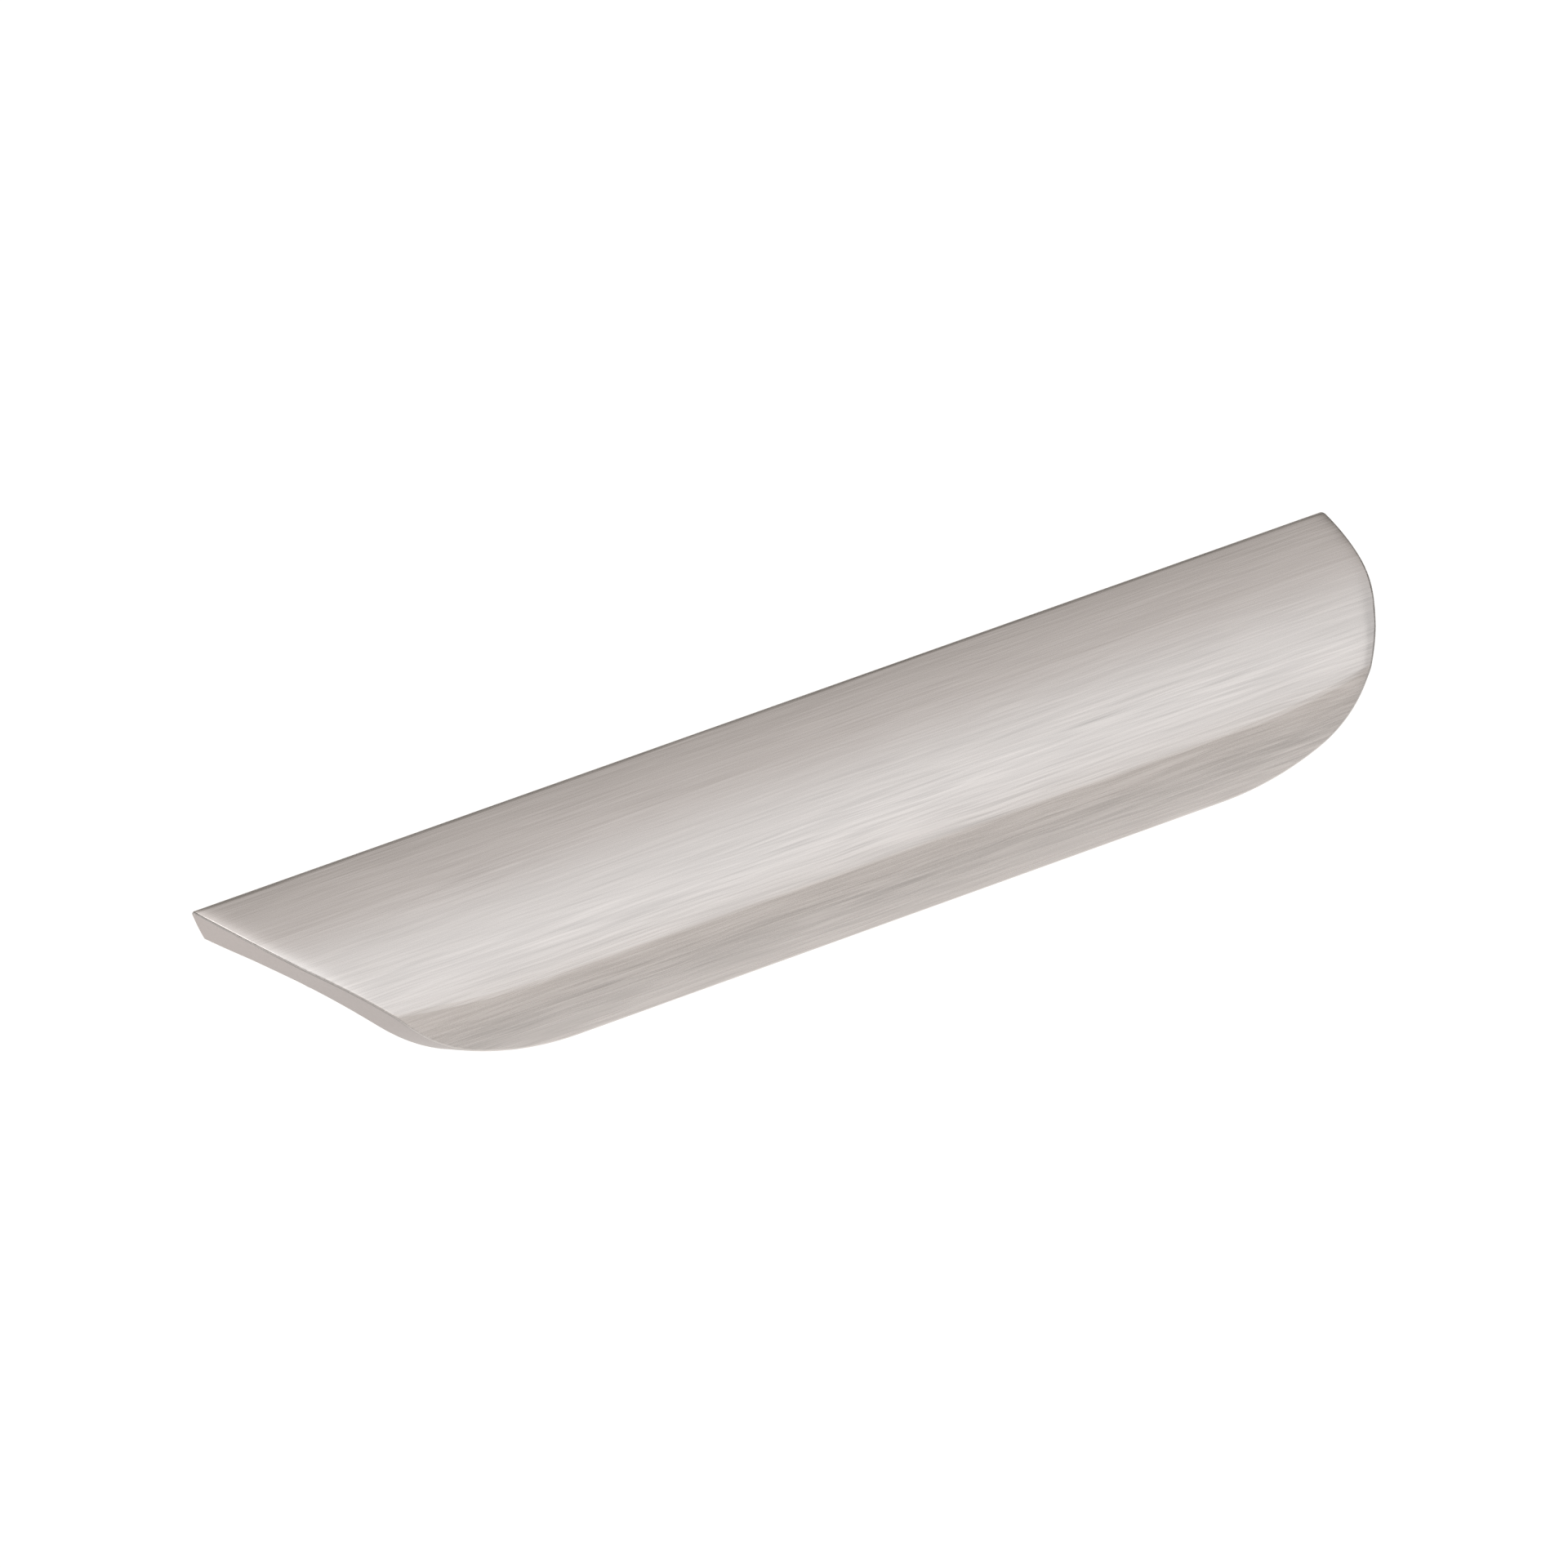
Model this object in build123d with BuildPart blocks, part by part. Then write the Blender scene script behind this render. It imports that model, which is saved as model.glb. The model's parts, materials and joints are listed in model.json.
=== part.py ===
"""Visor pull for a drawer or a cabinet door, cast in one piece.

The pull is a curved shelf that stands out from the drawer front. Its top starts level at the drawer,
rolls over in three ever tighter arcs and meets a steep front lip at a soft crease. Both front corners
are swept away in one cut that comes in from the front and above. Underneath, a round scoop makes room
for the fingers, and two bosses take the screws that come through the drawer front.

X runs along the pull, the drawer front is the plane Y = 0, the pull stands out towards -Y and +Z is up.
The origin is half way between the two screw holes, on the drawer front. All sizes are in millimetres.
"""

import os
from math import cos, degrees, radians, sin, tan

from build123d import *

# Screw holes, and how far each end of the pull runs on past its hole
hole_spacing = 128.0
end_overhang = 12.0

# Outer edge of the lip: how far it stands off the drawer, and how far it hangs below the top
projection = 26.5
drop = 13.75

# Top skin, from the drawer outwards: the radius of each arc and how far it turns downwards. It starts with
# the roll that the brushing leaves on the back edge.
roll_radius = 2.0
roll_turn = 25.0
top_radius = 103.0
top_turn = 5.0
shoulder_radius = 33.0
shoulder_turn = 17.0
knuckle_radius = 14.25
knuckle_turn = 48.0

# Front lip: the radius of its face, its slope at the lower edge, and the soft crease above it
lip_radius = 21.2
lip_slope = 87.3
crease_radius = 1.3

# Towards both ends the lip bows back to the drawer: where that starts, from the end, and its radius
bow_length = 30.75
bow_radius = 325.0

# Thickness of the shelf at the drawer, the flat under it, and the finger scoop beyond the flat
shelf_thickness = 4.0
flat_depth = 5.2
scoop_radius = 18.1

# The cut that shapes both ends: how far it leans back from the vertical, then the line that it follows,
# as angles from square across the pull and the radii between them
cut_lean = 66.0
end_angle = 20.9
side_angle = 41.5
corner_angle = 71.0
side_radius = 27.7
corner_radius = 17.6
lip_corner_radius = 41.6

# Bosses and their holes for M4 screws, drilled at the tapping size
hole_below_top = 5.5
boss_width = 8.0
boss_length = 9.0
boss_root_round = 0.8
boss_end_round = 0.6
tap_drill = 3.3
tap_depth = 7.0
tap_mouth = 4.3
drill_point_angle = 118.0

# Rounding of the rim, outside and inside
rim_round = 0.25
inner_rim_round = 0.15

# How far the blanks and the cutters reach past the finished form
spare = 8.0

# How far up the lip's blank follows the arc of its face, as an angle
lip_face_turn = 60.0

# Allowance that keeps neighbouring edges out of a selection, and the same for the slope of a face
clear = 1.0
level = 0.01

length = hole_spacing + 2 * end_overhang
floor = -drop - 2 * spare

# The section is drawn looking along the pull, outwards and upwards from the top back edge
section_plane = Plane(origin=(0, 0, hole_below_top), x_dir=(0, -1, 0), z_dir=(-1, 0, 0))

# The cut is drawn square to its own direction, through the top back edge
cut_direction = Vector(0, -sin(radians(cut_lean)), cos(radians(cut_lean)))
cut_axis = Axis((0, 0, 0), cut_direction)
cut_plane = Plane(origin=(0, 0, hole_below_top), x_dir=(1, 0, 0), z_dir=cut_direction)

# The drawer front
mounting_plane = Plane(origin=(0, 0, 0), x_dir=(1, 0, 0), z_dir=(0, -1, 0))

# Centre of the lip's face in the section, and the depth of its lower edge along the cut's line
lip_normal = Vector(sin(radians(lip_slope)), cos(radians(lip_slope)))
lip_centre = Vector(projection, -drop) - lip_normal * lip_radius
lip_width = projection * cos(radians(cut_lean)) + drop * sin(radians(cut_lean))

# Block behind the lip's face: straight in the middle, turned back about an upright axis at both ends
bow_start = length / 2 - bow_length
bow_turn = degrees(2 * bow_length / bow_radius)
bow_axis = Axis((bow_start, bow_radius - projection, 0), (0, 0, 1))
with BuildPart() as lip_block:
    with BuildSketch(section_plane.offset(-bow_start)) as lip_outline:
        with BuildLine():
            lip_face = CenterArc(center=lip_centre, radius=lip_radius, start_angle=0, arc_size=lip_face_turn)
            Polyline(
                lip_face @ 1,
                (-spare, (lip_face @ 1).Y),
                (-spare, floor),
                ((lip_face @ 0).X, floor),
                lip_face @ 0,
            )
        make_face()
    extrude(amount=bow_start)
    revolve(lip_outline.sketch, axis=bow_axis, revolution_arc=bow_turn)
    mirror(about=Plane.YZ)

# Screw hole: the countersunk mouth, the drilled bore and the drill's point
point_depth = tap_drill / 2 / tan(radians(drill_point_angle / 2))
mouth_depth = (tap_mouth - tap_drill) / 2
with BuildPart() as screw_hole:
    with BuildSketch(Plane.XZ):
        with BuildLine():
            Polyline(
                (0, 0),
                (tap_mouth / 2, 0),
                (tap_drill / 2, mouth_depth),
                (tap_drill / 2, tap_depth),
                (0, tap_depth + point_depth),
                close=True,
            )
        make_face()
    revolve(axis=Axis.Z)

# Screw boss, rounded at its end
with BuildPart() as boss:
    with BuildSketch(Plane.XY):
        Circle(boss_width / 2)
    extrude(amount=boss_length)
    fillet(boss.faces().sort_by(Axis.Z)[-1].edges(), radius=boss_end_round)

with BuildPart() as pull_body:
    # Everything below the top skin
    with BuildSketch(section_plane):
        with BuildLine():
            roll = JernArc(
                start=(0, 0),
                tangent=(cos(radians(roll_turn)), sin(radians(roll_turn))),
                radius=roll_radius,
                arc_size=-roll_turn,
            )
            top = JernArc(roll @ 1, roll % 1, radius=top_radius, arc_size=-top_turn)
            shoulder = JernArc(top @ 1, top % 1, radius=shoulder_radius, arc_size=-shoulder_turn)
            knuckle = JernArc(shoulder @ 1, shoulder % 1, radius=knuckle_radius, arc_size=-knuckle_turn)
            beyond_lip = knuckle @ 1 + knuckle % 1 * spare
            Polyline(knuckle @ 1, beyond_lip, (beyond_lip.X, floor), (0, floor), (0, 0))
        make_face()
    extrude(amount=length / 2 + spare, both=True)

    # The lip's face, and the crease where it meets the top
    add(lip_block.part, mode=Mode.INTERSECT)
    crease = pull_body.edges().filter_by_position(
        Axis.Z, hole_below_top + lip_centre.Y + clear, hole_below_top + (shoulder @ 1).Y - clear
    )
    fillet(crease.filter_by_position(Axis.X, -length / 2, length / 2), radius=crease_radius)

    # Both ends and the lip's lower edge, in one cut
    with BuildSketch(cut_plane):
        with BuildLine():
            side = JernArc(
                start=(length / 2, 0),
                tangent=(-sin(radians(end_angle)), -cos(radians(end_angle))),
                radius=side_radius,
                arc_size=end_angle - side_angle,
            )
            corner_width = corner_radius * (sin(radians(corner_angle)) - sin(radians(side_angle)))
            lip_corner_width = lip_corner_radius * (1 - sin(radians(corner_angle)))
            straight_width = lip_width + (side @ 1).Y - corner_width - lip_corner_width
            straight = Line(side @ 1, side @ 1 + side % 1 * (straight_width / cos(radians(side_angle))))
            corner = JernArc(
                straight @ 1, straight % 1, radius=corner_radius, arc_size=side_angle - corner_angle
            )
            lip_corner = JernArc(
                corner @ 1, corner % 1, radius=lip_corner_radius, arc_size=corner_angle - 90
            )
            mirror(about=Plane.YZ)
            Line(lip_corner @ 1, (-(lip_corner @ 1).X, (lip_corner @ 1).Y))
            Polyline(
                (length / 2, 0), (length / 2, spare), (-length / 2, spare), (-length / 2, 0)
            )
        make_face()
    extrude(amount=projection + spare, both=True, mode=Mode.INTERSECT)
    cut_faces = pull_body.faces().filter_by(lambda face: abs(face.normal_at().dot(cut_direction)) < level)
    rim = cut_faces.edges().filter_by(cut_axis, reverse=True)
    fillet(rim.filter_by_position(Axis.Y, -projection - spare, -rim_round), radius=rim_round)

    # The flat and the finger scoop under the shelf
    with BuildSketch(section_plane):
        with BuildLine():
            flat = Line((-spare, -shelf_thickness), (flat_depth, -shelf_thickness))
            scoop = JernArc(start=flat @ 1, tangent=flat % 1, radius=scoop_radius, arc_size=-90)
            Polyline(scoop @ 1, ((scoop @ 1).X, floor), (-spare, floor), flat @ 0)
        make_face()
    extrude(amount=length, both=True, mode=Mode.SUBTRACT)
    under = pull_body.faces().filter_by(lambda face: face.normal_at().dot(cut_direction) < -level)
    under_edges = under.filter_by_position(Axis.Y, -projection, -rim_round).edges()
    lip_underside_edge = under_edges.filter_by(Axis.X).sort_by(Axis.Z)[0]
    fillet(under_edges.filter_by(Axis.X, reverse=True) + [lip_underside_edge], radius=inner_rim_round)

    # Screw bosses, with the cast rounding at their roots
    with Locations(mounting_plane):
        with GridLocations(hole_spacing, 0, 2, 1):
            add(boss.part)
    roots = pull_body.edges(Select.LAST).filter_by(
        lambda edge: abs(abs(edge.center().X) - hole_spacing / 2) < boss_width / 2
    )
    roots = roots.filter_by_position(Axis.Y, -projection, -rim_round)
    fillet(roots.filter_by_position(Axis.Z, 0, hole_below_top), radius=boss_root_round)

    # Screw holes
    with Locations(mounting_plane):
        with GridLocations(hole_spacing, 0, 2, 1):
            add(screw_hole.part, mode=Mode.SUBTRACT)

pull_body.part.label = "pull_body"
os.makedirs("parts", exist_ok=True)
export_step(pull_body.part, "parts/pull_body.step")
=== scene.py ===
"""Looks of a visor pull for a drawer: one cast piece, plated, and brushed along its length.

The casting keeps the shape of its CAD model and gets its finish, and both screw holes get their thread.
X runs along the pull, the drawer front is the plane Y = 0, the pull stands out towards -Y and +Z is up.
Blender's objects are in metres. The finish is worked out in millimetres.
"""

import json
import logging
import math
from dataclasses import dataclass
from enum import Enum

import bpy
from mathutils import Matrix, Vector


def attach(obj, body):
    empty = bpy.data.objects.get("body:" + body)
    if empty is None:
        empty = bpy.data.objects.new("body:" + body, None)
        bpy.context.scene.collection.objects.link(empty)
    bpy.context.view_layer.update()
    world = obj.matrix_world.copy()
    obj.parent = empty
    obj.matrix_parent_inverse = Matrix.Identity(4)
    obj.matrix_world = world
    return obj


log = logging.getLogger("cabinet_pull")

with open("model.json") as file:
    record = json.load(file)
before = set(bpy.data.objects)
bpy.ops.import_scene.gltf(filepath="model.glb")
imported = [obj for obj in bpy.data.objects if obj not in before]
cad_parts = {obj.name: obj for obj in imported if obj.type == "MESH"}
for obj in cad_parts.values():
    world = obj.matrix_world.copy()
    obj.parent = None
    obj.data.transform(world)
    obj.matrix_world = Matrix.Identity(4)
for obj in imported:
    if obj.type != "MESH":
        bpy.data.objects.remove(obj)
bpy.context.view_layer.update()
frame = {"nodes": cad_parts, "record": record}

BODY = "root"
MM = 0.001

# A Mix node's sockets for vectors share their names with those for numbers, so they go by their number
MIX_VECTOR_INPUTS = (4, 5)
MIX_VECTOR_OUTPUT = 1

Socket = bpy.types.NodeSocket
Value = Socket | float
Triple = tuple[float, float, float]


class Ray(Enum):
    """Outputs of the Light Path node, for rays that see directly, in a reflection or through glass."""

    CAMERA = "Is Camera Ray"
    GLOSSY = "Is Glossy Ray"
    TRANSMISSION = "Is Transmission Ray"


@dataclass(frozen=True)
class Fade:
    """Smooth step of a mask: the value where it is still 0, and the value where it has reached 1."""

    none: float
    full: float


@dataclass(frozen=True)
class Streaks:
    """One layer of noise: waves per millimetre along and across the pull, finer octaves, and strength."""

    along: float
    across: float
    detail: float
    strength: float = 1.0


@dataclass(frozen=True)
class Roll:
    """Rounding that the brush leaves beside an edge: its width in millimetres, and its slope at the edge."""

    width: float
    slope: float


@dataclass(frozen=True)
class NodeChain:
    """Adds nodes to one node tree and links them."""

    tree: bpy.types.NodeTree

    def add(self, kind: str, inputs: dict[str, object] | None = None, **settings: object) -> bpy.types.Node:
        """Adds a node.

        Args:
            kind: Blender's name of the node's type.
            inputs: What to feed to its sockets, by the socket's name.
            **settings: The node's own settings, such as an operation.

        Returns:
            The new node.
        """
        node = self.tree.nodes.new(kind)
        for name, value in settings.items():
            setattr(node, name, value)
        for name, value in (inputs or {}).items():
            self.feed(node.inputs[name], value)
        return node

    def feed(self, socket: Socket, value: object) -> None:
        """Links a socket to another node's output, or sets its value.

        Args:
            socket: The socket to feed.
            value: An output to link, or a number or a tuple to set.
        """
        if isinstance(value, bpy.types.NodeSocket):
            self.tree.links.new(value, socket)
        else:
            socket.default_value = value

    def math(self, operation: str, first: Value, second: Value = 0.0) -> Socket:
        """Adds a Math node.

        Args:
            operation: The operation's name.
            first: A number or a socket.
            second: A number or a socket.

        Returns:
            The node's output.
        """
        node = self.add("ShaderNodeMath", operation=operation)
        self.feed(node.inputs[0], first)
        self.feed(node.inputs[1], second)
        return node.outputs[0]

    def vector(self, operation: str, first: object, second: object) -> bpy.types.Node:
        """Adds a Vector Math node.

        Args:
            operation: The operation's name.
            first: A vector or a socket.
            second: A vector or a socket.

        Returns:
            The node, whose output depends on the operation.
        """
        node = self.add("ShaderNodeVectorMath", operation=operation)
        self.feed(node.inputs[0], first)
        self.feed(node.inputs[1], second)
        return node

    def scale(self, vector: object, factor: Value) -> Socket:
        """Multiplies a vector by a number.

        Args:
            vector: A vector or a socket.
            factor: A number or a socket.

        Returns:
            The longer or shorter vector.
        """
        node = self.add("ShaderNodeVectorMath", {"Scale": factor}, operation="SCALE")
        self.feed(node.inputs[0], vector)
        return node.outputs[0]

    def mix(self, share: Value, first: Value, second: Value) -> Socket:
        """Blends two numbers.

        Args:
            share: How much of the second value, from 0 to 1.
            first: A number or a socket.
            second: A number or a socket.

        Returns:
            The blended value.
        """
        return self.add("ShaderNodeMix", {"Factor": share, "A": first, "B": second}).outputs["Result"]

    def mix_vectors(self, share: Value, first: object, second: object) -> Socket:
        """Blends two vectors or colours.

        Args:
            share: How much of the second one, from 0 to 1.
            first: A vector or a socket.
            second: A vector or a socket.

        Returns:
            The blended vector.
        """
        node = self.add("ShaderNodeMix", {"Factor": share}, data_type="VECTOR")
        for number, value in zip(MIX_VECTOR_INPUTS, (first, second)):
            self.feed(node.inputs[number], value)
        return node.outputs[MIX_VECTOR_OUTPUT]

    def dim(self, value: Socket, mask: Value, level: Value) -> Socket:
        """Multiplies a value by a level where a mask is 1, and keeps it where the mask is 0.

        Args:
            value: The value to dim.
            mask: The mask, from 0 to 1.
            level: What is left of the value.

        Returns:
            The dimmed value.
        """
        return self.math("MULTIPLY", value, self.mix(mask, 1.0, level))

    def ease(self, value: Socket, fade: Fade) -> Socket:
        """Adds a smooth step.

        Args:
            value: The value that the step depends on.
            fade: Where the step starts and ends. It may run either way.

        Returns:
            The step's output, from 0 to 1.
        """
        inputs = {"Value": value, "From Min": fade.none, "From Max": fade.full}
        return self.add("ShaderNodeMapRange", inputs, interpolation_type="SMOOTHSTEP").outputs["Result"]

    def noise(self, place: Socket, layer: Streaks) -> Socket:
        """Adds a noise that is stretched along the pull and centred on zero.

        Args:
            place: The place on the surface, in millimetres.
            layer: The noise's waves and strength.

        Returns:
            The noise, roughly from -0.3 to 0.3 times its strength.
        """
        scaled = self.vector("MULTIPLY", place, (layer.along, layer.across, layer.across))
        inputs = {"Vector": scaled.outputs[0], "Scale": 1.0, "Detail": layer.detail}
        noise = self.add("ShaderNodeTexNoise", inputs)
        centred = self.math("SUBTRACT", noise.outputs["Fac"], 0.5)
        return self.math("MULTIPLY", centred, layer.strength)


@dataclass(frozen=True)
class EndCut:
    """Outline of the slanting cut that shapes both ends, seen along the cut, in millimetres and degrees.

    The sizes are those of the CAD model. From the back edge forwards the outline is an arc, a straight line
    and a tighter arc, which is followed up to last_angle.
    """

    lean: float = 66.0
    half_length: float = 76.0
    top: float = 5.5
    end_angle: float = 20.9
    side_angle: float = 41.5
    side_radius: float = 27.7
    straight: float = 10.2
    corner_radius: float = 17.6
    last_angle: float = 62.0
    tangents_on_arc: int = 5

    @property
    def direction(self) -> Vector:
        """Direction of the cut."""
        lean = math.radians(self.lean)
        return Vector((0.0, -math.sin(lean), math.cos(lean)))

    @property
    def forward(self) -> Vector:
        """Direction square to the cut, forwards and down."""
        lean = math.radians(self.lean)
        return Vector((0.0, -math.cos(lean), -math.sin(lean)))

    def tangents(self) -> list[Triple]:
        """Works out tangents of the outline, which bulges everywhere.

        Returns:
            For each tangent, its outward direction across and forwards, and how far out it lies.
        """
        start, turn, last = (math.radians(a) for a in (self.end_angle, self.side_angle, self.last_angle))
        outward, along = Vector((math.cos(turn), math.sin(turn))), Vector((-math.sin(turn), math.cos(turn)))
        back_corner = Vector((self.half_length, 0.0))
        side_centre = back_corner - Vector((math.cos(start), math.sin(start))) * self.side_radius
        inwards = self.side_radius - self.corner_radius
        corner_centre = side_centre + outward * inwards + along * self.straight
        arcs = (
            (start, turn, side_centre, self.side_radius),
            (turn, last, corner_centre, self.corner_radius),
        )
        tangents = []
        for first, final, centre, radius in arcs:
            for step in range(self.tangents_on_arc):
                angle = first + (final - first) * step / (self.tangents_on_arc - 1)
                facing = Vector((math.cos(angle), math.sin(angle)))
                tangents.append((facing.x, facing.y, centre.dot(facing) + radius))
        return tangents


@dataclass(frozen=True)
class Spot:
    """What the finish knows of a place on the surface, with all distances in millimetres.

    Attributes:
        place: The place in the pull's own axes.
        normal: The surface normal in the pull's own axes.
        inside: Distance from the rim of both ends, seen along the cut.
        from_back: Distance from the back edge, seen along the cut.
        run_off: 1 on the right half, where the brush runs off the end and the painted shade widens, else 0.
    """

    place: Socket
    normal: Socket
    inside: Socket
    from_back: Socket
    run_off: Socket


@dataclass(frozen=True)
class Zones:
    """Masks for the differently finished parts of the casting and for painted shade, from 0 to 1.

    Attributes:
        painted_rim_shade: The rounding between the cut's faces and the skin, which gets a painted shade.
        cut_face: The faces of the end cut.
        cast_side: The underside, the back and the screw bosses.
        plain: All that the brush doesn't reach.
        pressure: How hard the brush ran, around 1.
    """

    painted_rim_shade: Socket
    cut_face: Socket
    cast_side: Socket
    plain: Socket
    pressure: Socket


@dataclass(frozen=True)
class BrushedNickel:
    """Satin nickel plating with the fine lines of a brush that ran along the pull, to the right.

    The outer skin is brushed. It rolls off a little at the back edge and at the rim of both ends, and further
    forward at the right end, where the brush runs off. The faces of the end cut have only fine grain, and a
    painted reflection darkens them towards the front. A painted shade darkens the rounding of their rim and
    the skin beside it. The underside, the back and the screw bosses are as cast, under the same plating.

    A slope here is the part of the surface normal that points along the cut: it is 0 on the faces of the
    cut and below 0 underneath. A tilt is 0 on a level skin and 1 on an upright one.
    """

    name: str = "brushed_nickel"
    cut: EndCut = EndCut()

    colour: Triple = (0.66, 0.6225, 0.601)
    roughness: float = 0.27
    line_roughness: float = 0.12
    line_contrast: float = 0.29
    line_depth: float = 0.0088 * MM

    # The tangent runs along X, and a quarter of a turn stretches the highlights across the brush lines
    anisotropy: float = 0.8
    anisotropy_turn: float = 0.25

    # Surfaces that the brush doesn't reach
    plain_roughness: float = 0.4
    plain_anisotropy: float = 0.15
    grain: Streaks = Streaks(along=2.2, across=2.8, detail=3.0)
    grain_contrast: float = 0.14
    grain_depth: float = 0.006 * MM
    # Darker colour on the underside, the back and the screw bosses
    cast_shade: float = 0.86
    cut_face_colour: Triple = (0.45, 0.407, 0.39)
    # Painted reflection: the faces of the end cut are a little lighter at the back and darker towards the
    # front
    painted_reflection_back: float = 1.035
    painted_reflection_front: float = 0.92
    painted_reflection_fade: Fade = Fade(1.0, 12.0)

    # Where a surface counts as rim, cut face or cast side, by its normal
    facing_end: Fade = Fade(0.25, 0.45)
    below_skin: Fade = Fade(0.5, 0.25)
    above_cut: Fade = Fade(0.02, 0.14)
    along_cut: Fade = Fade(0.05, 0.01)
    underneath: Fade = Fade(-0.03, -0.12)

    # Space under the shelf that holds the screw bosses
    boss_end: float = 69.5
    boss_length: float = 11.0
    shelf_underside: float = 1.55

    # Painted shade: a dark line on the rounding of the rim, which grows from the back edge to the front
    painted_rim_shade_level: float = 0.7
    painted_rim_shade_back: float = 0.75
    painted_rim_shade_front: float = 1.25
    painted_rim_shade_growth: Fade = Fade(2.0, 9.0)

    # Painted shade: a dark line on the skin beside the rim, which reaches further from the rim on the right
    # half
    painted_skin_shade_fade: Fade = Fade(0.32, -0.03)
    painted_skin_shade_level: float = 0.62
    painted_skin_shade_back: float = 0.84
    painted_skin_shade_growth: Fade = Fade(3.0, 8.0)
    painted_skin_shade_end: Fade = Fade(18.0, 14.0)
    painted_skin_shade_right_reach: float = 0.13

    # Rolled edges
    back_roll: Roll = Roll(width=1.3, slope=0.085)
    rim_roll: Roll = Roll(width=0.7, slope=0.55)
    rim_roll_end: Fade = Fade(16.0, 3.0)
    run_off_reach: float = 6.5
    run_off_roll: float = 0.3
    run_off_growth: Fade = Fade(3.0, 8.0)

    # Pressure of the brush: light on the level top, full on the shoulder, less on the lip
    light_pressure: float = 0.6
    full_pressure: float = 1.2
    pressure_growth: Fade = Fade(0.0, 0.12)
    lip_pressure_loss: float = 0.3
    lip_tilt: Fade = Fade(0.4, 0.6)

    # Layers of the brush lines, and how they wander and cross
    drift: Streaks = Streaks(along=0.06, across=0.3, detail=2.0, strength=0.5)
    fine_lines: Streaks = Streaks(along=0.07, across=3.1, detail=1.0)
    broad_lines: Streaks = Streaks(along=0.035, across=0.9, detail=0.0, strength=0.1)
    crossing_lines: Streaks = Streaks(along=0.08, across=2.5, detail=1.0, strength=0.65)
    crossing_lean: float = 0.035
    crossing_shift: float = 40.0
    hair_lines: Streaks = Streaks(along=0.12, across=7.0, detail=0.0, strength=0.7)
    patches: Streaks = Streaks(along=0.03, across=0.15, detail=1.0, strength=1.6)

    def build(self) -> bpy.types.Material:
        """Makes the material.

        Returns:
            The finished material.
        """
        material = bpy.data.materials.new(self.name)
        material.use_nodes = True
        chain = NodeChain(material.node_tree)
        spot = self.spot(chain)
        zones = self.zones(chain, spot)
        lines = chain.math("MULTIPLY", self.brush_lines(chain, spot.place), zones.pressure)
        grain = chain.noise(spot.place, self.grain)

        shader = material.node_tree.nodes["Principled BSDF"]
        shader.inputs["Metallic"].default_value = 1.0
        shader.inputs["Anisotropic Rotation"].default_value = self.anisotropy_turn
        chain.feed(shader.inputs["Base Color"], self.tone(chain, spot, zones, lines, grain))
        rough = chain.math("ADD", chain.math("MULTIPLY", lines, self.line_roughness), self.roughness)
        chain.feed(shader.inputs["Roughness"], chain.mix(zones.plain, rough, self.plain_roughness))
        stretch = chain.mix(zones.plain, self.anisotropy, self.plain_anisotropy)
        chain.feed(shader.inputs["Anisotropic"], stretch)
        chain.feed(shader.inputs["Tangent"], chain.add("ShaderNodeCombineXYZ", {"X": 1.0}).outputs[0])
        relief = self.relief(chain, spot, zones, lines, grain)
        bump = chain.add("ShaderNodeBump", {"Height": relief, "Distance": 1.0})
        chain.feed(shader.inputs["Normal"], bump.outputs[0])
        return material

    def spot(self, chain: NodeChain) -> Spot:
        """Reads the place on the surface and measures its distance from the rims.

        Args:
            chain: The material's nodes.

        Returns:
            The place and what is known of it.
        """
        coordinates = chain.add("ShaderNodeTexCoord")
        place = chain.scale(coordinates.outputs["Object"], 1.0 / MM)
        parts = chain.add("ShaderNodeSeparateXYZ", {"Vector": place})
        forward = chain.vector("DOT_PRODUCT", place, self.cut.forward).outputs["Value"]
        from_back = chain.math("SUBTRACT", forward, self.cut.forward.z * self.cut.top)
        aside = chain.math("ABSOLUTE", parts.outputs["X"])
        seen = chain.add("ShaderNodeCombineXYZ", {"X": aside, "Y": from_back, "Z": 1.0}).outputs[0]
        inside: Value = self.cut.half_length
        for across, forwards, reach in self.cut.tangents():
            tangent = chain.vector("DOT_PRODUCT", seen, (-across, -forwards, reach))
            inside = chain.math("MINIMUM", inside, tangent.outputs["Value"])
        run_off = chain.math("GREATER_THAN", parts.outputs["X"], 0.0)
        return Spot(place, coordinates.outputs["Normal"], inside, from_back, run_off)

    def zones(self, chain: NodeChain, spot: Spot) -> Zones:
        """Tells the finishes apart by the way that the surface faces, and the screw bosses by their place.

        Args:
            chain: The material's nodes.
            spot: The place on the surface.

        Returns:
            The masks.
        """
        parts = chain.add("ShaderNodeSeparateXYZ", {"Vector": spot.normal})
        slope = chain.vector("DOT_PRODUCT", spot.normal, self.cut.direction).outputs["Value"]
        at_end = chain.ease(chain.math("ABSOLUTE", parts.outputs["X"]), self.facing_end)
        rounded = chain.math(
            "MULTIPLY", chain.ease(slope, self.below_skin), chain.ease(slope, self.above_cut)
        )
        painted_rim_shade = chain.math("MULTIPLY", at_end, rounded)
        boss = self.boss_mask(chain, spot)
        cut_face = chain.ease(chain.math("ABSOLUTE", slope), self.along_cut)
        cut_face = chain.math("MULTIPLY", cut_face, chain.math("SUBTRACT", 1.0, boss))
        cast_side = chain.math("MAXIMUM", chain.ease(slope, self.underneath), boss)
        plain = chain.math("MAXIMUM", cut_face, cast_side)

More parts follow.
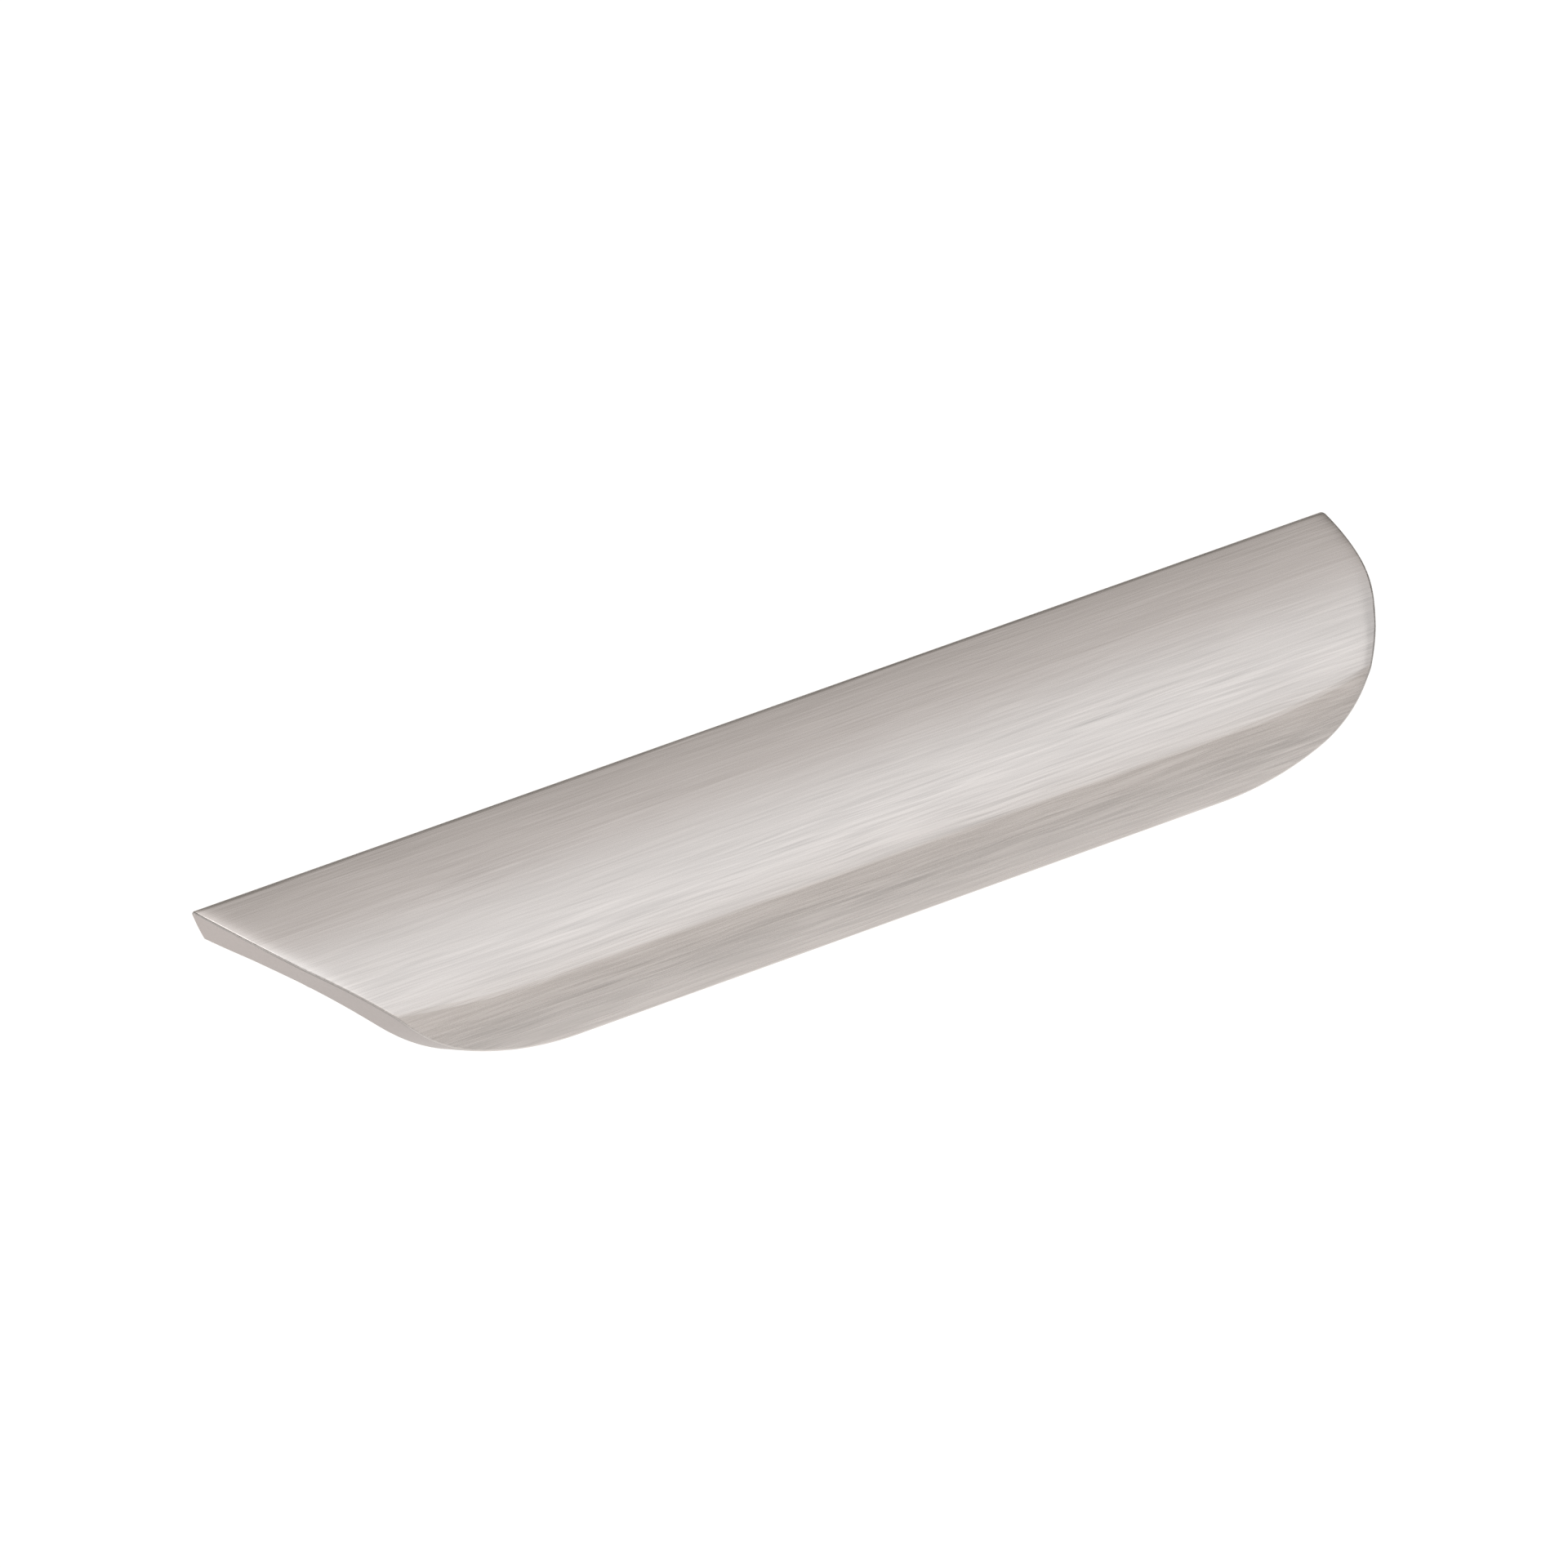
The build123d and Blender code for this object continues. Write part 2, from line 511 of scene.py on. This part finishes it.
        tilt = chain.math("SUBTRACT", 1.0, parts.outputs["Z"])
        growth = chain.ease(tilt, self.pressure_growth)
        pressure = chain.mix(growth, self.light_pressure, self.full_pressure)
        loss = chain.math("MULTIPLY", chain.ease(tilt, self.lip_tilt), self.lip_pressure_loss)
        pressure = chain.math("SUBTRACT", pressure, loss)
        return Zones(painted_rim_shade, cut_face, cast_side, plain, pressure)

    def boss_mask(self, chain: NodeChain, spot: Spot) -> Socket:
        """Finds the space under the shelf that holds the screw bosses.

        Args:
            chain: The material's nodes.
            spot: The place on the surface.

        Returns:
            1 in that space and 0 elsewhere.
        """
        parts = chain.add("ShaderNodeSeparateXYZ", {"Vector": spot.place})
        aside = chain.math("ABSOLUTE", parts.outputs["X"])
        mask = chain.math("LESS_THAN", aside, self.boss_end)
        near = chain.math("GREATER_THAN", parts.outputs["Y"], -self.boss_length)
        mask = chain.math("MULTIPLY", mask, near)
        below = chain.math("LESS_THAN", parts.outputs["Z"], self.shelf_underside)
        return chain.math("MULTIPLY", mask, below)

    def tone(self, chain: NodeChain, spot: Spot, zones: Zones, lines: Socket, grain: Socket) -> Socket:
        """Works out the colour of the plating, with painted shade beside the rim and a painted reflection on
        the cut faces.

        Args:
            chain: The material's nodes.
            spot: The place on the surface.
            zones: The masks.
            lines: The brush lines.
            grain: The fine grain.

        Returns:
            The colour.
        """
        brushed = chain.math("ADD", chain.math("MULTIPLY", lines, self.line_contrast), 1.0)
        grained = chain.math("ADD", chain.math("MULTIPLY", grain, self.grain_contrast), 1.0)
        shade = chain.mix(zones.plain, brushed, grained)
        # Painted reflection on the faces of the end cut, darker towards the front
        growth = chain.ease(spot.from_back, self.painted_reflection_fade)
        painted_reflection = chain.mix(growth, self.painted_reflection_back, self.painted_reflection_front)
        shade = chain.dim(shade, zones.cut_face, painted_reflection)
        # Painted shade: a dark line on the rounding of the rim, darker towards the front
        growth = chain.ease(spot.from_back, self.painted_rim_shade_growth)
        strength = chain.mix(growth, self.painted_rim_shade_back, self.painted_rim_shade_front)
        painted_rim_shade = chain.math("MULTIPLY", zones.painted_rim_shade, strength)
        shade = chain.dim(shade, painted_rim_shade, self.painted_rim_shade_level)
        shade = self.painted_skin_shade(chain, spot, zones, shade)
        shade = chain.dim(shade, zones.cast_side, self.cast_shade)
        tint = chain.mix_vectors(zones.cut_face, self.colour, self.cut_face_colour)
        return chain.scale(tint, shade)

    def painted_skin_shade(self, chain: NodeChain, spot: Spot, zones: Zones, shade: Socket) -> Socket:
        """Darkens the skin with painted shade in a thin line beside the rim of both ends.

        Args:
            chain: The material's nodes.
            spot: The place on the surface.
            zones: The masks.
            shade: The shade so far.

        Returns:
            The shade with the line.
        """
        wider = chain.math("MULTIPLY", spot.run_off, self.painted_skin_shade_right_reach)
        from_rim = chain.math("SUBTRACT", spot.inside, wider)
        beside = chain.ease(from_rim, self.painted_skin_shade_fade)
        mask = chain.math("MINIMUM", beside, chain.math("SUBTRACT", 1.0, zones.plain))
        growth = chain.ease(spot.from_back, self.painted_skin_shade_growth)
        growth = chain.math("MULTIPLY", growth, chain.ease(spot.from_back, self.painted_skin_shade_end))
        return chain.dim(shade, mask, chain.mix(growth, self.painted_skin_shade_back, self.painted_skin_shade_level))

    def relief(self, chain: NodeChain, spot: Spot, zones: Zones, lines: Socket, grain: Socket) -> Socket:
        """Works out the height of the surface for its bump.

        Args:
            chain: The material's nodes.
            spot: The place on the surface.
            zones: The masks.
            lines: The brush lines.
            grain: The fine grain.

        Returns:
            The height, in metres.
        """
        grooves = chain.math("MULTIPLY", lines, self.line_depth)
        grooves = chain.math("SUBTRACT", grooves, self.roll_off(chain, spot))
        return chain.mix(zones.plain, grooves, chain.math("MULTIPLY", grain, self.grain_depth))

    def roll_off(self, chain: NodeChain, spot: Spot) -> Socket:
        """Works out how far the skin drops away beside its edges, where the brush runs over them.

        Args:
            chain: The material's nodes.
            spot: The place on the surface.

        Returns:
            The drop, in metres.
        """
        at_rim = self.drop(chain, spot.inside, self.rim_roll)
        more = chain.math("MULTIPLY", spot.run_off, self.run_off_roll)
        more = chain.math("MULTIPLY", chain.ease(spot.from_back, self.run_off_growth), more)
        at_rim = chain.math("MULTIPLY", at_rim, chain.math("ADD", more, 1.0))
        reach = chain.math("MULTIPLY", spot.run_off, self.run_off_reach)
        forward = chain.math("SUBTRACT", spot.from_back, reach)
        at_rim = chain.math("MULTIPLY", at_rim, chain.ease(forward, self.rim_roll_end))
        return chain.math("ADD", at_rim, self.drop(chain, spot.from_back, self.back_roll))

    def drop(self, chain: NodeChain, distance: Socket, roll: Roll) -> Socket:
        """Works out how far the skin drops away beside one edge.

        Args:
            chain: The material's nodes.
            distance: Distance from the edge, in millimetres.
            roll: The edge's rounding.

        Returns:
            The drop, in metres.
        """
        fall = chain.math("EXPONENT", chain.math("MULTIPLY", distance, -1.0 / roll.width))
        return chain.math("MULTIPLY", fall, roll.slope * roll.width * MM)

    def brush_lines(self, chain: NodeChain, place: Socket) -> Socket:
        """Makes the lines of the brush: long, narrow, wandering a little, and some of them crossing.

        Args:
            chain: The material's nodes.
            place: The place on the surface, in millimetres.

        Returns:
            The depth of the lines, centred on zero.
        """
        drift = chain.noise(place, self.drift)
        aside = chain.add("ShaderNodeCombineXYZ", {"Y": drift, "Z": drift})
        moved = chain.vector("ADD", place, aside.outputs[0]).outputs[0]
        parts = chain.add("ShaderNodeSeparateXYZ", {"Vector": place})
        lean = chain.math("MULTIPLY", parts.outputs["X"], self.crossing_lean)
        slant = chain.add("ShaderNodeCombineXYZ", {"X": self.crossing_shift, "Y": lean, "Z": lean})
        slanted = chain.vector("ADD", moved, slant.outputs[0]).outputs[0]

        lines = chain.math("ADD", chain.noise(moved, self.fine_lines), chain.noise(moved, self.broad_lines))
        lines = chain.math("ADD", lines, chain.noise(slanted, self.crossing_lines))
        lines = chain.math("ADD", lines, chain.noise(moved, self.hair_lines))
        return chain.math("MULTIPLY", lines, chain.math("ADD", chain.noise(place, self.patches), 1.0))


@dataclass(frozen=True)
class Casting:
    """The cast pull itself, whose shape is the CAD model's."""

    node: str = "pull_body"

    def dress(self, finish: bpy.types.Material) -> bpy.types.Object:
        """Gives the casting its finish.

        Args:
            finish: The material.

        Returns:
            The dressed casting.
        """
        casting = frame["nodes"][self.node]
        casting.data.materials.clear()
        casting.data.materials.append(finish)
        return casting


@dataclass(frozen=True)
class Thread:
    """Thread in one screw hole, for an M4 screw: a ridge that winds along the wall of the bore."""

    name: str
    hole_x: float
    bore_radius: float
    pitch: float = 0.7 * MM
    ridge_size: float = 0.2 * MM
    ridge_corners: int = 3
    first_turn: float = 0.8 * MM
    turns: int = 8
    steps: int = 32
    smooth_angle: float = math.radians(40.0)

    def build(self, finish: bpy.types.Material) -> bpy.types.Object:
        """Makes the thread.

        Args:
            finish: The piece's material.

        Returns:
            The finished piece.
        """
        ridge = self.draw_section()
        self.wind(ridge)
        self.close_ends()
        self.place(ridge)
        ridge.data.materials.append(finish)
        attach(ridge, BODY)
        return ridge

    def draw_section(self) -> bpy.types.Object:
        """Draws the ridge's section beside the Z axis, with one corner towards the axis.

        Returns:
            The new object.
        """
        bpy.ops.object.select_all(action="DESELECT")
        bpy.ops.mesh.primitive_circle_add(
            vertices=self.ridge_corners,
            radius=self.ridge_size,
            location=(self.bore_radius, 0.0, self.first_turn),
            rotation=(math.pi / 2, -math.pi / 2, 0.0),
        )
        bpy.ops.object.transform_apply(location=True, rotation=True, scale=True)
        bpy.context.object.name = self.name
        return bpy.context.object

    def wind(self, ridge: bpy.types.Object) -> None:
        """Winds the section about the Z axis.

        Args:
            ridge: The object that holds the section.
        """
        wind = ridge.modifiers.new("wind", "SCREW")
        wind.axis = "Z"
        wind.screw_offset = self.pitch
        wind.iterations = self.turns
        wind.steps = self.steps
        wind.render_steps = self.steps
        bpy.ops.object.modifier_apply(modifier=wind.name)

    def close_ends(self) -> None:
        """Fills both ends of the wound ridge and turns its faces outwards."""
        bpy.ops.object.mode_set(mode="EDIT")
        bpy.ops.mesh.select_all(action="SELECT")
        bpy.ops.mesh.fill_holes(sides=self.ridge_corners)
        bpy.ops.mesh.select_all(action="SELECT")
        bpy.ops.mesh.normals_make_consistent(inside=False)
        bpy.ops.object.mode_set(mode="OBJECT")
        bpy.ops.object.shade_smooth_by_angle(angle=self.smooth_angle)

    def place(self, ridge: bpy.types.Object) -> None:
        """Lays the ridge into its hole, running away from the drawer.

        Args:
            ridge: The wound ridge.
        """
        ridge.rotation_euler = (math.pi / 2, 0.0, 0.0)
        ridge.location = (self.hole_x, 0.0, 0.0)
        bpy.ops.object.transform_apply(location=True, rotation=True, scale=True)


def threads() -> tuple[Thread, Thread]:
    """Works out the thread of both screw holes from the holes' spacing and bore in the record.

    Returns:
        The left and the right thread.
    """
    holes = next(mount["dims"] for mount in frame["record"]["mounts"] if mount["kind"] == "bolt_pattern")
    hole_x, bore_radius = holes["spacing_x_mm"] / 2 * MM, holes["hole_r_mm"] * MM
    return Thread("thread_left", -hole_x, bore_radius), Thread("thread_right", hole_x, bore_radius)


@dataclass(frozen=True)
class Lamp:
    """One rectangular lamp that shines at the pull."""

    name: str
    location: Triple
    width: float
    height: float
    energy: float

    def build(self) -> None:
        """Adds the lamp. The camera doesn't see it."""
        data = bpy.data.lights.new(self.name, "AREA")
        data.shape = "RECTANGLE"
        data.size = self.width
        data.size_y = self.height
        data.energy = self.energy
        lamp = bpy.data.objects.new(self.name, data)
        lamp.location = self.location
        lamp.rotation_mode = "QUATERNION"
        lamp.rotation_quaternion = Vector(self.location).to_track_quat("Z", "Y")
        lamp.visible_camera = False
        bpy.context.scene.collection.objects.link(lamp)


@dataclass(frozen=True)
class Tone:
    """Colour of the room in one direction, from 0 at the front over 0.5 overhead to 1 at the back."""

    turn: float
    colour: Triple


ROOM = (
    Tone(0.0, (0.86, 0.815, 0.775)),
    Tone(0.2, (0.72, 0.71, 0.7)),
    Tone(0.42, (0.805, 0.815, 0.825)),
    Tone(0.62, (0.785, 0.795, 0.8)),
    Tone(0.75, (0.82, 0.78, 0.76)),
    Tone(0.83, (0.45, 0.425, 0.4)),
    Tone(0.9, (0.19, 0.175, 0.15)),
    Tone(1.0, (0.06, 0.055, 0.045)),
)

LAMPS = (
    Lamp("softbox", location=(0.0, -1.0, 3.0), width=6.0, height=6.0, energy=30.0),
    Lamp("side_box", location=(-2.3, 1.1, 1.5), width=2.4, height=1.4, energy=11.0),
)


@dataclass(frozen=True)
class Studio:
    """White floor, soft light and the camera at the photograph's angle.

    Places and distances are in metres, angles in radians, and the camera's lens and sensor in millimetres.
    The room's strength is 1 on the right, past plain_side, and up to most_lift at the upper left.
    """

    floor_height: float = -0.25
    floor_radius: float = 12.0
    floor_corners: int = 96
    floor_colour: Triple = (0.715, 0.7, 0.685)
    floor_glow: float = 0.32
    white_centre: Triple = (0.12, 0.2, 0.0)
    white_radius: float = 0.5
    floor_falloff: float = 0.45

    plain_side: float = 0.5
    side_lift: float = 1.4
    most_lift: float = 1.32

    azimuth: float = math.radians(-35.09)
    elevation: float = math.radians(30.465)
    lens: float = 579.8
    sensor: float = 36.0
    distance: float = 2.777
    view_end: float = 40.0
    target: Triple = (-0.00068, -0.00464, -0.00161)

    def build(self) -> None:
        """Adds the whole studio."""
        self.add_floor()
        self.add_room()
        for lamp in LAMPS:
            lamp.build()
        self.add_camera()
        bpy.context.scene.view_settings.view_transform = "Standard"

    def add_floor(self) -> None:
        """Adds a wide disc below the pull; it shows its upper side only."""
        bpy.ops.object.select_all(action="DESELECT")
        bpy.ops.mesh.primitive_circle_add(
            vertices=self.floor_corners,
            radius=self.floor_radius,
            fill_type="NGON",
            location=(0.0, 0.0, self.floor_height),
        )
        floor = bpy.context.object
        floor.name = "floor"
        floor.data.materials.append(self.floor_material())

    def floor_material(self) -> bpy.types.Material:
        """Makes the floor: white below and behind the pull, where it keeps the shadow, and greyer far away.

        Returns:
            The material.
        """
        material = bpy.data.materials.new("studio_floor")
        material.use_nodes = True
        nodes = material.node_tree.nodes
        nodes.remove(nodes["Principled BSDF"])
        chain = NodeChain(material.node_tree)
        place = chain.add("ShaderNodeTexCoord").outputs["Object"]
        away = chain.vector("DISTANCE", place, self.white_centre)
        near = chain.math("DIVIDE", self.white_radius, away.outputs["Value"])
        level = chain.math("POWER", chain.math("MINIMUM", near, 1.0), self.floor_falloff)
        seen = self.seen_directly(chain)
        strength = chain.math("MULTIPLY", chain.math("MULTIPLY", seen, level), self.floor_glow)
        glow = chain.add("ShaderNodeEmission", {"Strength": strength})
        matt = chain.add("ShaderNodeBsdfDiffuse", {"Color": chain.scale(self.floor_colour, level)})
        both = chain.add("ShaderNodeAddShader")
        chain.feed(both.inputs[0], glow.outputs[0])
        chain.feed(both.inputs[1], matt.outputs[0])
        clear = chain.add("ShaderNodeBsdfTransparent")
        side = chain.add("ShaderNodeNewGeometry")
        mix = chain.add("ShaderNodeMixShader", {"Fac": side.outputs["Backfacing"]})
        chain.feed(mix.inputs[1], both.outputs[0])
        chain.feed(mix.inputs[2], clear.outputs[0])
        chain.feed(nodes["Material Output"].inputs["Surface"], mix.outputs[0])
        return material

    def seen_directly(self, chain: NodeChain) -> Socket:
        """Finds the rays that see the floor directly, in a reflection or through glass.

        Args:
            chain: The floor's nodes.

        Returns:
            1 for such a ray and 0 for the light that the floor throws back.
        """
        path = chain.add("ShaderNodeLightPath")
        seen: Socket = path.outputs[Ray.CAMERA.value]
        for ray in (Ray.GLOSSY, Ray.TRANSMISSION):
            seen = chain.math("MAXIMUM", seen, path.outputs[ray.value])
        return seen

    def add_room(self) -> None:
        """Makes the room: it darkens from overhead to the back, and it is brightest at the upper left."""
        world = bpy.data.worlds.new("studio_room")
        bpy.context.scene.world = world
        world.use_nodes = True
        chain = NodeChain(world.node_tree)
        place = chain.add("ShaderNodeTexCoord")
        parts = chain.add("ShaderNodeSeparateXYZ", {"Vector": place.outputs["Generated"]})
        forward = chain.math("MULTIPLY", parts.outputs["Y"], -1.0)
        turn = chain.math("ARCTAN2", parts.outputs["Z"], forward)
        ramp = chain.add("ShaderNodeValToRGB", {"Fac": chain.math("DIVIDE", turn, math.pi)})
        elements = ramp.color_ramp.elements
        while len(elements) < len(ROOM):
            elements.new(0.5)
        for element, tone in zip(elements, ROOM):
            element.position = tone.turn
            element.color = (*tone.colour, 1.0)
        background = world.node_tree.nodes["Background"]
        chain.feed(background.inputs["Color"], ramp.outputs["Color"])
        left = chain.math("MAXIMUM", chain.math("SUBTRACT", self.plain_side, parts.outputs["X"]), 0.0)
        upper = chain.math("MULTIPLY", chain.math("MAXIMUM", parts.outputs["Z"], 0.0), self.side_lift)
        level = chain.math("ADD", chain.math("MULTIPLY", left, upper), 1.0)
        chain.feed(background.inputs["Strength"], chain.math("MINIMUM", level, self.most_lift))

    def add_camera(self) -> None:
        """Adds the camera, looking down on the pull from its front left."""
        ahead = math.cos(self.elevation)
        across, outwards = math.sin(self.azimuth) * ahead, -math.cos(self.azimuth) * ahead
        back = Vector((across, outwards, math.sin(self.elevation)))
        data = bpy.data.cameras.new("camera")
        data.sensor_width = self.sensor
        data.lens = self.lens
        data.clip_end = self.view_end
        camera = bpy.data.objects.new("camera", data)
        camera.location = Vector(self.target) + back * self.distance
        camera.rotation_mode = "QUATERNION"
        camera.rotation_quaternion = (-back).to_track_quat("-Z", "Y")
        bpy.context.scene.collection.objects.link(camera)
        bpy.context.scene.camera = camera


def main() -> None:
    """Dresses the pull, threads its screw holes and sets up the studio."""
    logging.basicConfig(level=logging.INFO, format="%(name)s: %(message)s")
    nickel = BrushedNickel().build()
    pieces = [Casting().dress(nickel)]
    pieces += [thread.build(nickel) for thread in threads()]
    for piece in pieces:
        log.info("%s: %d faces in %s", piece.name, len(piece.data.polygons), nickel.name)
    Studio().build()


if __name__ == "__main__":
    main()
